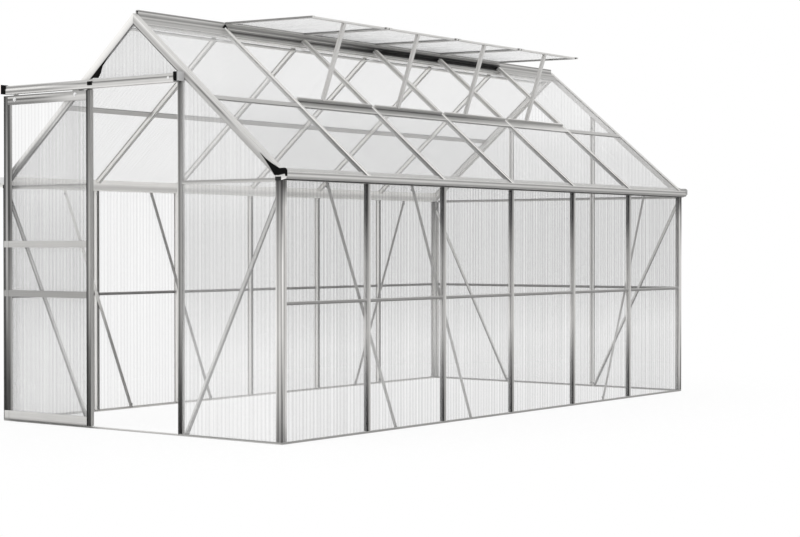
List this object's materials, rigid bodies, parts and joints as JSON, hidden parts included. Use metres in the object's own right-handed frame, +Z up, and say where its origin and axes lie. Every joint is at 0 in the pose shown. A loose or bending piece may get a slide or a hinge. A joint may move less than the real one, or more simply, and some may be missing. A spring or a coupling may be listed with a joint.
{
  "type": "polycarbonate greenhouse",
  "caption": "Walk-in gable greenhouse of aluminium glazing bars and twin-wall sheets, with propped roof vents and a sliding gable door hung from a track.",
  "frame": {"origin": "centre of the greenhouse's outline on the ground it stands on", "axes": "+X across the gable, +Y from the door gable to the rear gable along the ridge, +Z up"},
  "size_m": [1.976, 3.8468, 2.054],
  "materials": {
    "aluminium_profile": "mill-finish extruded aluminium, satin",
    "bright_aluminium": "bright extruded aluminium",
    "door_aluminium": "extruded aluminium, satin",
    "brace_strip": "flat rolled strip, satin",
    "zinc_steel": "zinc-plated pressed steel",
    "black_plastic": "moulded plastic, matt black",
    "grey_plastic": "moulded plastic, matt grey",
    "twin_wall_sheet": "clear fluted twin-wall polycarbonate"
  },
  "bodies": {
    "house": {"base_rails_long": "aluminium_profile", "base_rails_gable": "aluminium_profile", "door_threshold": "black_plastic", "corner_posts": "aluminium_profile", "side_posts_right": "aluminium_profile", "side_posts_left": "aluminium_profile", "door_posts": "aluminium_profile", "rear_gable_posts": "aluminium_profile", "gutter_right": "aluminium_profile", "gutter_left": "aluminium_profile", "gutter_caps_front": "black_plastic", "gutter_caps_rear": "grey_plastic", "mid_rails_long": "aluminium_profile", "mid_rails_rear": "aluminium_profile", "cross_rails": "aluminium_profile", "door_header": "aluminium_profile", "gable_rafters_front": "aluminium_profile", "gable_rafters_rear": "aluminium_profile", "roof_bars_right": "aluminium_profile", "roof_bars_left": "aluminium_profile", "ridge_beam": "aluminium_profile", "purlins": "aluminium_profile", "vent_sills": "aluminium_profile", "vent_frame_1": "aluminium_profile", "vent_frame_2": "aluminium_profile", "vent_frame_3": "aluminium_profile", "vent_frame_4": "aluminium_profile", "vent_panels": "twin_wall_sheet", "vent_stays": "brace_strip", "wall_braces": "brace_strip", "gable_braces": "brace_strip", "wall_panels_right": "twin_wall_sheet", "wall_panels_left": "twin_wall_sheet", "gable_panels_front": "twin_wall_sheet", "gable_panels_rear": "twin_wall_sheet", "roof_panels_right": "twin_wall_sheet", "roof_panels_left": "twin_wall_sheet", "door_track": "bright_aluminium", "track_fittings": "black_plastic"},
    "sliding_door": {"door_stiles": "door_aluminium", "door_rails": "bright_aluminium", "door_panels": "twin_wall_sheet", "door_hangers": "zinc_steel", "door_rollers": "black_plastic"}
  },
  "joints": [
    {"name": "door_slide", "type": "slide", "parent": "house", "child": "sliding_door", "axis": [1, 0, 0], "range_m": [0, 0.575]}
  ]
}
